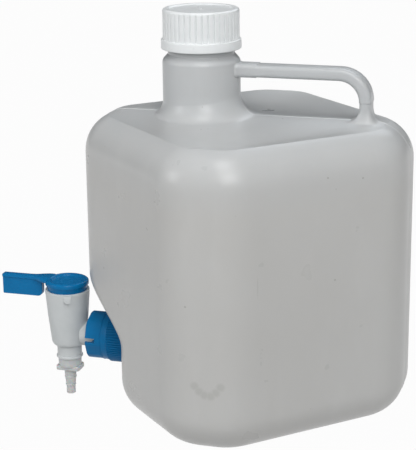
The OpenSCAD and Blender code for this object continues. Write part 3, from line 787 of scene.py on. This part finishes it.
def plate_tool():
    """The lever's top plate, from its square tip to its wide root on the hub, with soft edges."""
    rings = []
    tip_w, arm_w, soft = 3.1, 3.5, 0.7
    stations = [(LEVER_REACH, tip_w), (LEVER_REACH - 0.5, arm_w), (50, arm_w), (40, arm_w), (33, 3.6),
                (29.5, 4.1), (27, 4.9), (24.5, 6.2), (22, 7.8), (19.5, 9.4), (17, 10.6), (14.8, 11)]
    for reach, half_w in stations:
        shrink = 0.5 if half_w == tip_w else 0
        drop = 0 if reach > 24 else (24 - reach) * 0.1
        high, low = PLATE_TOP_Z - shrink * 0.5 - drop, PLATE_TOP_Z - 3 + shrink * 0.5
        left = [(-half_w + soft, high), (-half_w + soft * 0.3, high - soft * 0.3), (-half_w, high - soft),
                (-half_w, low + soft * 0.6), (-half_w + soft * 0.6, low)]
        right = [(-x, z) for x, z in reversed(left)]
        rings.append([tap_place(x, -reach, z) for x, z in left + right])
    return stack([list(reversed(r)) for r in rings])


def blade_tool():
    """The upright blade under the plate, with a round lower inner corner and soft edges."""
    tip, root, corner = LEVER_REACH - 0.2, RIM_R + 3.4, 4.0
    low, high = PLATE_TOP_Z - 17.6, PLATE_TOP_Z - 1.5
    outline = [(tip, high), (tip, low + 0.8), (tip - 0.25, low + 0.25), (tip - 0.8, low)]
    outline += [(root + corner - corner * math.sin(a), low + corner - corner * math.cos(a))
                for a in (math.radians(10 * k) for k in range(10))]
    outline += [(root, high)]
    centre = Vector(((tip + root) / 2, (low + high) / 2))
    rings = []
    for x, shrink in ((-BLADE_HALF, 0.3), (0.3 - BLADE_HALF, 0), (BLADE_HALF - 0.3, 0), (BLADE_HALF, 0.3)):
        ring = []
        for reach, z in outline:
            here = Vector((reach, z))
            moved = here + (centre - here).normalized() * shrink
            ring.append(tap_place(x, -moved.x, moved.y if z < high else high))
        rings.append(ring)
    return stack(rings)


def add_nozzle(material):
    """Nozzle: a collar over the tap's spigot, a grip plate with soft corners and a barbed tapered tube."""
    barb = [(0, TIP_Z, 0), (3.9, TIP_Z, 0.4), (3.9, TIP_Z + 6, 3), (4.09, PLATE_Z - 15.4, 0.2),
            (4.6, PLATE_Z - 14.5, 0.15), (4.12, PLATE_Z - 14.0, 0.3), (4.72, PLATE_Z - 8.6, 0.2),
            (5.25, PLATE_Z - 6.9, 0.15), (4.85, PLATE_Z - 6.4, 0.3), (5.3, PLATE_Z - 0.4, 0.6),
            (6.4, PLATE_Z + 0.8, 0), (0, PLATE_Z + 0.8, 0)]
    nozzle = tool_piece("nozzle_shell", *turned(rounded_profile(barb, 4), tap_place, 96))
    collar = [(0, PLATE_UP_Z - 0.8, 0), (NOZZLE_R - 0.6, PLATE_UP_Z - 0.8, 0),
              (NOZZLE_R - 0.2, PLATE_UP_Z + 0.6, 0.8), (NOZZLE_R, COLLAR_FOOT_Z, 0.5), (0, COLLAR_FOOT_Z, 0)]
    rings = []
    for z, shrink in ((PLATE_Z, 0.7), (PLATE_Z + 0.25, 0.2), (PLATE_Z + 0.8, 0), (PLATE_UP_Z - 0.8, 0),
                      (PLATE_UP_Z - 0.25, 0.2), (PLATE_UP_Z, 0.7)):
        plate = section(PLATE_W - 2 * shrink, PLATE_L - 2 * shrink, PLATE_R - shrink)
        rings.append([tap_place(x, y, z) for x, y in plate])
    combine(nozzle, tool_piece("plate", *stack(rings)), "UNION")
    combine(nozzle, tool_piece("collar", *turned(rounded_profile(collar), tap_place, 96)), "UNION")
    socket_foot, socket_top = COLLAR_FOOT_Z - 6, COLLAR_FOOT_Z + 1
    socket = [(0, socket_foot), (SOCKET_R, socket_foot), (SOCKET_R, socket_top), (0, socket_top)]
    combine(nozzle, tool_piece("socket", *turned(socket, tap_place, 72)), "DIFFERENCE")
    bore_top = COLLAR_FOOT_Z - 5
    bore = [(0, TIP_Z - 1), (NOZZLE_BORE_R, TIP_Z - 1), (NOZZLE_BORE_R, bore_top), (0, bore_top)]
    combine(nozzle, tool_piece("bore", *turned(bore, tap_place, 64)), "DIFFERENCE")
    dress(nozzle, material, 32, "nozzle", "carboy")


# ---- Materials ----

PLASTIC_IOR = 1.5
DIRT = (0.24, 0.23, 0.21)
SMEAR = (0.36, 0.355, 0.34)


class Finish:
    """A procedural material on one shader, with textures placed by object coordinates."""

    def __init__(self, name, color, roughness, **sockets):
        self.material = bpy.data.materials.new(name)
        self.material.use_nodes = True
        self.tree = self.material.node_tree
        self.shader = self.tree.nodes["Principled BSDF"]
        self.place = self.node("ShaderNodeTexCoord").outputs["Object"]
        self.shader.inputs["Base Color"].default_value = (*color, 1)
        self.shader.inputs["Roughness"].default_value = roughness
        for socket, value in sockets.items():
            self.shader.inputs[socket.replace("_", " ")].default_value = value
        self.color = None
        self.base = color
        self.normal = None

    def node(self, kind, **settings):
        made = self.tree.nodes.new(kind)
        for key, value in settings.items():
            setattr(made, key, value)
        return made

    def link(self, source, target):
        self.tree.links.new(source, target)

    def noise(self, scale, detail, stretch=(1, 1, 1)):
        """A noise field; scale is in features per metre."""
        mapping = self.node("ShaderNodeMapping")
        mapping.inputs["Scale"].default_value = stretch
        self.link(self.place, mapping.inputs["Vector"])
        texture = self.node("ShaderNodeTexNoise")
        texture.inputs["Scale"].default_value = scale
        texture.inputs["Detail"].default_value = detail
        self.link(mapping.outputs["Vector"], texture.inputs["Vector"])
        return texture.outputs["Fac"]

    def spot(self, point, reach, strength, stretch=(1, 1, 1)):
        """A soft round mark about a point in millimetres; stretch below 1 lengthens it along an axis."""
        away = self.node("ShaderNodeVectorMath", operation="SUBTRACT")
        self.link(self.place, away.inputs[0])
        away.inputs[1].default_value = Vector(point) * MM
        scaled = self.node("ShaderNodeVectorMath", operation="MULTIPLY")
        self.link(away.outputs["Vector"], scaled.inputs[0])
        scaled.inputs[1].default_value = stretch
        size = self.node("ShaderNodeVectorMath", operation="LENGTH")
        self.link(scaled.outputs["Vector"], size.inputs[0])
        return self.span(size.outputs["Value"], reach * MM * 0.45, reach * MM, strength, 0.0)

    def marks(self, points, reach, strength):
        """Several spots as one mask."""
        mask = self.spot(points[0], reach, strength)
        for point in points[1:]:
            mask = self.math("MAXIMUM", mask, self.spot(point, reach, strength))
        return mask

    def specks(self, scale, size, share):
        """Sparse dark specks: the middles of a few cells."""
        cells = self.node("ShaderNodeTexVoronoi")
        cells.inputs["Scale"].default_value = scale
        self.link(self.place, cells.inputs["Vector"])
        split = self.node("ShaderNodeSeparateXYZ")
        self.link(cells.outputs["Color"], split.inputs[0])
        chosen = self.math("LESS_THAN", split.outputs["X"], share)
        near = self.span(cells.outputs["Distance"], size * 0.5, size, 1.0, 0.0)
        return self.math("MULTIPLY", chosen, near)

    def span(self, field, low, high, to_low=0.0, to_high=1.0):
        """The field's range from low to high, spread over another range."""
        made = self.node("ShaderNodeMapRange")
        for socket, value in (("From Min", low), ("From Max", high), ("To Min", to_low), ("To Max", to_high)):
            made.inputs[socket].default_value = value
        self.link(field, made.inputs["Value"])
        return made.outputs["Result"]

    def math(self, operation, a, b=None):
        """A sum or comparison of fields or numbers; operations on one value leave b out."""
        made = self.node("ShaderNodeMath", operation=operation)
        for socket, value in zip(made.inputs, (a, b)):
            if value is None:
                continue
            if isinstance(value, (int, float)):
                socket.default_value = value
            else:
                self.link(value, socket)
        return made.outputs[0]

    def tint(self, mask, color):
        """Mixes a colour in where the mask is high."""
        mix = self.node("ShaderNodeMix", data_type="RGBA")
        if self.color is None:
            mix.inputs["A"].default_value = (*self.base, 1)
        else:
            self.link(self.color, mix.inputs["A"])
        mix.inputs["B"].default_value = (*color, 1)
        self.link(mask, mix.inputs["Factor"])
        self.color = mix.outputs["Result"]
        self.link(self.color, self.shader.inputs["Base Color"])

    def rough(self, field):
        self.link(field, self.shader.inputs["Roughness"])

    def bump(self, height, strength, distance):
        made = self.node("ShaderNodeBump")
        made.inputs["Strength"].default_value = strength
        made.inputs["Distance"].default_value = distance
        self.link(height, made.inputs["Height"])
        if self.normal:
            self.link(self.normal, made.inputs["Normal"])
        self.normal = made.outputs["Normal"]
        self.link(self.normal, self.shader.inputs["Normal"])

    def axis(self, name):
        split = self.node("ShaderNodeSeparateXYZ")
        self.link(self.place, split.inputs[0])
        return split.outputs[name]


SPECKS = ((76.9, 82, 209.8), (55.1, 104, 205.7), (133.7, -12, 120.2), (72.4, 87.3, 129.8))
SMUDGE = ((134.1, -5.5, 58.5), (134.1, -2, 54.5), (134.1, 2, 52),
          (134, 7, 51.5), (133.8, 11, 54.5), (133.3, 14.5, 59))
SCRATCH = (119.6, 39.5, 135)


def hdpe():
    """Natural polyethylene: milky grey, painted cooler and lighter towards the top, with a painted highlight
    along the parting line, faint flow marks and orange-peel skin.
    """
    f = Finish("natural_hdpe", (0.455, 0.452, 0.44), 0.3, IOR=PLASTIC_IOR, Specular_IOR_Level=0.38,
               Subsurface_Weight=0.1, Subsurface_Scale=0.003)
    f.shader.inputs["Subsurface Radius"].default_value = (1.0, 0.9, 0.8)
    # Painted light: from 190 mm up the body is tinted cooler and a little lighter, standing in for cool light
    # from above.
    high = f.span(f.axis("Z"), 0.19, 0.25)
    f.tint(high, (0.455, 0.47, 0.48))
    f.tint(f.span(f.noise(9, 4), 0.35, 0.65, 0.0, 0.4), (0.50, 0.503, 0.497))
    f.tint(f.span(f.noise(60, 2, (1, 1, 0.35)), 0.52, 0.75, 0.0, 0.1), (0.56, 0.56, 0.55))
    # Painted highlight: a whiter line along the parting line's ridge, within about a millimetre of the middle
    # plane.
    seam_highlight_distance = f.math("ABSOLUTE", f.axis("X"))
    f.tint(f.span(seam_highlight_distance, 0.0004, 0.0013, 0.45, 0.0), (0.66, 0.67, 0.67))
    f.tint(f.math("MULTIPLY", f.specks(70, 0.045, 0.12), 0.5), DIRT)
    f.tint(f.marks(SPECKS, 0.9, 0.7), DIRT)
    f.tint(f.marks(SMUDGE, 4.2, 0.5), SMEAR)
    f.tint(f.spot(SCRATCH, 0.7, 0.4, (1, 1, 0.07)), SMEAR)
    f.rough(f.span(f.noise(35, 4), 0.3, 0.7, 0.27, 0.34))
    f.bump(f.noise(900, 2), 0.12, 0.0002)
    f.bump(f.noise(45, 2), 0.08, 0.001)
    return f.material


def moulded(name, color, lighter, roughness, **sockets):
    """A moulded plastic with slight colour variation and a fine skin."""
    f = Finish(name, color, roughness, **sockets)
    f.tint(f.span(f.noise(120, 3), 0.35, 0.7, 0.0, 0.5), lighter)
    f.rough(f.span(f.noise(260, 3), 0.3, 0.7, roughness * 0.85, roughness * 1.2))
    f.bump(f.noise(1400, 2), 0.1, 0.00012)
    return f.material


# ---- Stage, light and camera ----

LEAST_GLOW = 0.5
FLOOR_Z = -0.12


def white_for_camera(material, color, shown):
    """The surface shows nearly white to the camera and to reflections, and keeps the object's shadow.

    Every other ray sees LEAST_GLOW of that white, so the stage also lights the object from below.
    """
    tree = material.node_tree
    shader = tree.nodes["Principled BSDF"]
    shader.inputs["Base Color"].default_value = (*color, 1)
    shader.inputs["Roughness"].default_value = 0.9
    glow = tree.nodes.new("ShaderNodeEmission")
    glow.inputs["Strength"].default_value = 1.0
    path = tree.nodes.new("ShaderNodeLightPath")
    seen = path.outputs["Is Camera Ray"]
    for ray in ("", "Is Glossy Ray", "Is Transmission Ray"):
        either = tree.nodes.new("ShaderNodeMath")
        either.operation = "MAXIMUM"
        either.inputs[1].default_value = LEAST_GLOW
        tree.links.new(seen, either.inputs[0])
        if ray:
            tree.links.new(path.outputs[ray], either.inputs[1])
        seen = either.outputs[0]
    share = tree.nodes.new("ShaderNodeMath")
    share.operation = "MULTIPLY"
    share.inputs[1].default_value = shown
    tree.links.new(seen, share.inputs[0])
    mix = tree.nodes.new("ShaderNodeMixShader")
    tree.links.new(share.outputs[0], mix.inputs["Fac"])
    tree.links.new(shader.outputs[0], mix.inputs[1])
    tree.links.new(glow.outputs[0], mix.inputs[2])
    tree.links.new(mix.outputs[0], tree.nodes["Material Output"].inputs["Surface"])


def block(name, low, high, material):
    (x0, y0, z0), (x1, y1, z1) = low, high
    corners = [(x, y, z) for z in (z0, z1) for x, y in ((x0, y0), (x1, y0), (x1, y1), (x0, y1))]
    faces = [(3, 2, 1, 0), (4, 5, 6, 7), (0, 1, 5, 4), (1, 2, 6, 5), (2, 3, 7, 6), (3, 0, 4, 7)]
    mesh = bpy.data.meshes.new(name)
    mesh.from_pydata(corners, [], faces)
    made = bpy.data.objects.new(name, mesh)
    made.data.materials.append(material)
    bpy.context.scene.collection.objects.link(made)


def set_stage():
    """A pale bench that the carboy stands on, with the tap hanging over its edge, and a pale floor below."""
    material = bpy.data.materials.new("pale_stage")
    material.use_nodes = True
    white_for_camera(material, STAGE_COLOR, STAGE_WHITE)
    block("bench", (-3, -0.098, FLOOR_Z), (3, 4, 0), material)
    block("floor", (-6, -6, FLOOR_Z - 0.02), (6, 6, FLOOR_Z), material)


def area_light(name, place, target, energy, size, color=(1, 1, 1)):
    data = bpy.data.lights.new(name, "AREA")
    data.energy = energy
    data.size = size
    data.color = color
    lamp = bpy.data.objects.new(name, data)
    lamp.location = place
    lamp.rotation_euler = (Vector(target) - Vector(place)).to_track_quat("-Z", "Y").to_euler()
    bpy.context.scene.collection.objects.link(lamp)


def set_world(toward, low, high):
    """A soft surround, brightest on the side it is turned to, which the camera sees as white."""
    world = bpy.data.worlds.new("surround")
    world.use_nodes = True
    bpy.context.scene.world = world
    tree = world.node_tree
    background = tree.nodes["Background"]
    background.inputs["Color"].default_value = (0.97, 0.985, 1, 1)
    along = tree.nodes.new("ShaderNodeVectorMath")
    along.operation = "DOT_PRODUCT"
    along.inputs[1].default_value = Vector(toward).normalized()
    tree.links.new(tree.nodes.new("ShaderNodeTexCoord").outputs["Generated"], along.inputs[0])
    fade = tree.nodes.new("ShaderNodeMapRange")
    fade.interpolation_type = "SMOOTHSTEP"
    fade.inputs["From Min"].default_value = -0.9
    fade.inputs["From Max"].default_value = 0.9
    fade.inputs["To Min"].default_value = low
    fade.inputs["To Max"].default_value = high
    tree.links.new(along.outputs["Value"], fade.inputs["Value"])
    path = tree.nodes.new("ShaderNodeLightPath")
    pick = tree.nodes.new("ShaderNodeMapRange")
    pick.inputs["To Max"].default_value = 1.0
    tree.links.new(path.outputs["Is Camera Ray"], pick.inputs["Value"])
    tree.links.new(fade.outputs["Result"], pick.inputs["To Min"])
    tree.links.new(pick.outputs["Result"], background.inputs["Strength"])


def set_camera():
    """The photograph's view: side on, from a little above, with the handle to the right."""
    place = Vector((1.12781, 0.30318, 0.48596))
    right = Vector((-0.28316, 0.95901, -0.01056))
    up = Vector((-0.27065, -0.06934, 0.96018))
    back = right.cross(up)
    data = bpy.data.cameras.new("camera")
    data.lens = 120.06
    data.sensor_width = 36
    data.clip_end = 50
    camera = bpy.data.objects.new("camera", data)
    turn = Matrix((right, up, back)).transposed().to_4x4()
    camera.matrix_world = Matrix.Translation(place) @ turn
    bpy.context.scene.collection.objects.link(camera)
    bpy.context.scene.camera = camera


STAGE_COLOR = (0.09, 0.09, 0.09)
STAGE_WHITE = 0.975
BLUE_GLOSS = 0.15
SUN_SIDE = (0.85, 0.2, 0.5)
# Name, place, target, watts, size in metres
LIGHTS = (("key", (1.6, 0.7, 1.3), (0, 0, 0.15), 20, 1.0),
          ("top", (0.75, 0.15, 1.9), (0, 0, 0.2), 12, 0.8),
          ("side", (1.1, -1.7, 0.9), (0, -0.1, 0.1), 8, 0.8),
          ("back", (-1.5, 0.2, 1.5), (0, 0, 0.25), 9, 1.2, (0.88, 0.94, 1)))


def main():
    natural = hdpe()
    white = moulded("white_pp", (0.70, 0.72, 0.725), (0.75, 0.765, 0.77), 0.32, IOR=PLASTIC_IOR)
    satin = moulded("tap_white", (0.52, 0.545, 0.55), (0.58, 0.60, 0.605), 0.42, IOR=PLASTIC_IOR)
    nut_blue = moulded("blue_pp", (0.001, 0.13, 0.32), (0.002, 0.15, 0.36), 0.36, IOR=PLASTIC_IOR,
                       Specular_IOR_Level=BLUE_GLOSS)
    lever_blue = moulded("lever_blue", (0.001, 0.135, 0.335), (0.002, 0.155, 0.37), 0.26, IOR=PLASTIC_IOR,
                         Specular_IOR_Level=BLUE_GLOSS)
    clear = moulded("nozzle_natural", (0.50, 0.51, 0.51), (0.55, 0.56, 0.55), 0.35, IOR=PLASTIC_IOR,
                    Subsurface_Weight=0.3, Subsurface_Scale=0.003)
    seal = moulded("seal_rubber", (0.03, 0.03, 0.032), (0.05, 0.05, 0.05), 0.7)
    foam = moulded("liner_foam", (0.75, 0.75, 0.73), (0.8, 0.8, 0.78), 0.8)

    add_bottle(natural)
    add_neck_thread(natural)
    add_cap(white)
    add_nut(nut_blue)
    add_tap(satin)
    add_lever(lever_blue)
    add_nozzle(clear)
    for name, material in (("inlet_gasket", seal), ("cap_liner", foam)):
        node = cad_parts[name]
        node.data.materials.clear()
        node.data.materials.append(material)

    set_stage()
    for settings in LIGHTS:
        area_light(*settings)
    set_world(SUN_SIDE, 0.04, 0.42)
    set_camera()
    bpy.context.scene.view_settings.view_transform = "Standard"


main()
